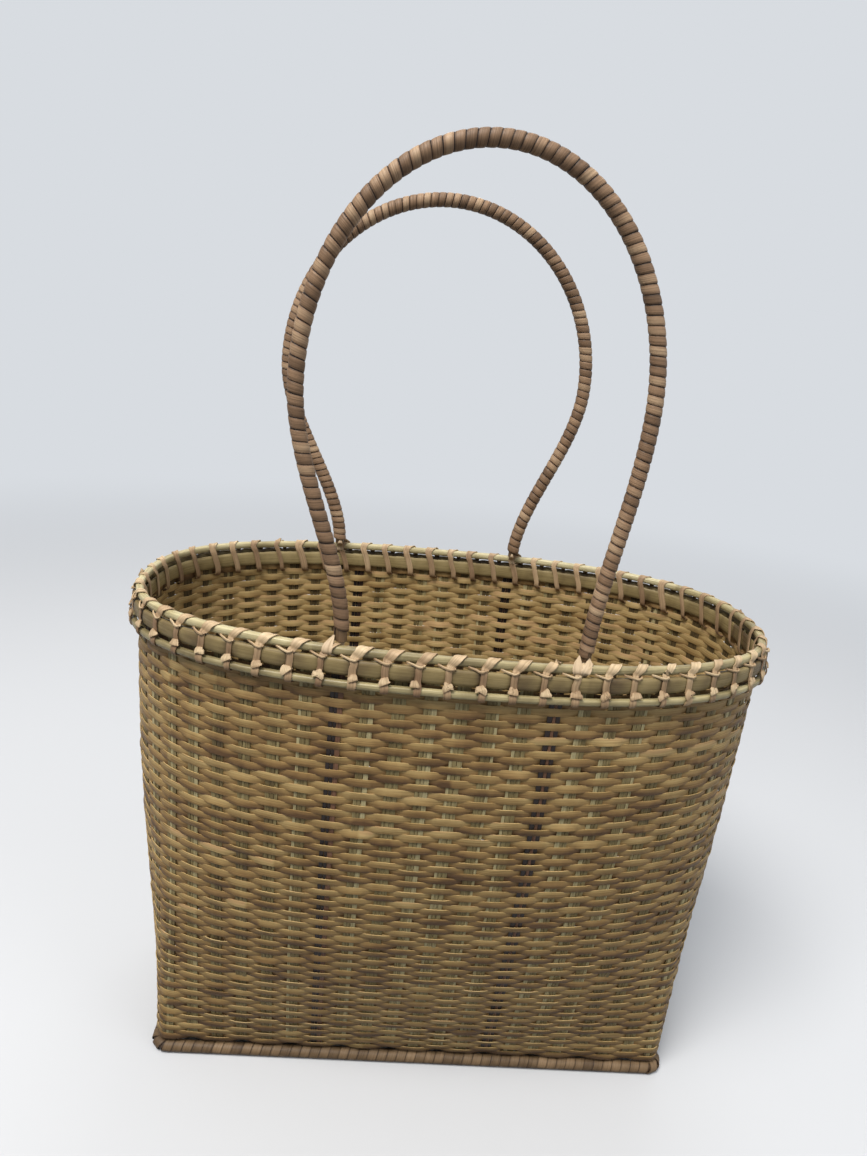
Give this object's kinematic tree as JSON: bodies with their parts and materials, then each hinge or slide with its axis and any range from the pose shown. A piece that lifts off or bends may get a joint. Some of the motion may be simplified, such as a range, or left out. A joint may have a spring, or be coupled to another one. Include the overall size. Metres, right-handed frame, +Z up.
{
  "type": "cane shopping tote",
  "caption": "Woven cane tote: open bulging basket on a foot rail, with a lashed rim and wrapped loop handles tied to the rim, one on each long wall.",
  "frame": {"origin": "on the floor, under the middle of the basket", "axes": "+Z up, X along the long walls, -Y towards the front wall"},
  "size_m": [0.3946, 0.2204, 0.5556],
  "materials": {
    "tan_weave": "split cane strand, matt",
    "pale_stake": "split cane, matt",
    "dark_stake": "cane stained dark brown",
    "green_cane": "pale green-cream cane skin, satin",
    "olive_hoop": "olive cane, satin",
    "peach_lashing": "split cane strip, satin",
    "handle_wrap": "split cane strip, satin",
    "handle_core": "bare cane, matt",
    "white_tie": "pale split cane strip, satin",
    "rail_cane": "wrapped cane, matt"
  },
  "bodies": {
    "basket": {"cross_stake_01": "pale_stake", "cross_stake_02": "pale_stake", "cross_stake_03": "pale_stake", "cross_stake_04": "pale_stake", "cross_stake_05": "pale_stake", "cross_stake_06": "pale_stake", "cross_stake_07": "dark_stake", "cross_stake_08": "pale_stake", "cross_stake_09": "pale_stake", "cross_stake_10": "pale_stake", "cross_stake_11": "pale_stake", "cross_stake_12": "pale_stake", "cross_stake_13": "pale_stake", "cross_stake_14": "pale_stake", "cross_stake_15": "dark_stake", "cross_stake_16": "pale_stake", "cross_stake_17": "pale_stake", "cross_stake_18": "pale_stake", "cross_stake_19": "pale_stake", "cross_stake_20": "pale_stake", "cross_stake_21": "pale_stake", "long_stake_01": "pale_stake", "long_stake_02": "pale_stake", "long_stake_03": "pale_stake", "long_stake_04": "pale_stake", "long_stake_05": "pale_stake", "long_stake_06": "pale_stake", "long_stake_07": "pale_stake", "long_stake_08": "pale_stake", "long_stake_09": "pale_stake", "weft_band_01": "tan_weave", "weft_band_02": "tan_weave", "weft_band_03": "tan_weave", "weft_band_04": "tan_weave", "weft_band_05": "tan_weave", "weft_band_06": "tan_weave", "base_mat": "tan_weave", "top_cane": "green_cane", "outer_hoop": "olive_hoop", "inner_hoop": "olive_hoop", "lower_cane": "green_cane", "rim_lashing": "peach_lashing", "foot_rail": "rail_cane"},
    "front_handle": {"front_handle_core": "handle_core", "front_handle_wrap": "handle_wrap", "front_left_tie": "white_tie", "front_right_tie": "white_tie"},
    "back_handle": {"back_handle_core": "handle_core", "back_handle_wrap": "handle_wrap", "back_left_tie": "white_tie", "back_right_tie": "white_tie"}
  },
  "joints": [
    {"name": "front_handle_swing", "type": "hinge", "parent": "basket", "child": "front_handle", "pos_m": [0, -0.09965, 0.31], "axis": [-1, 0, 0], "range_deg": [-25, 22]},
    {"name": "back_handle_swing", "type": "hinge", "parent": "basket", "child": "back_handle", "pos_m": [-0.01612, 0.09929, 0.31], "axis": [0.9996, 0.0282, 0], "range_deg": [-25, 22]}
  ]
}
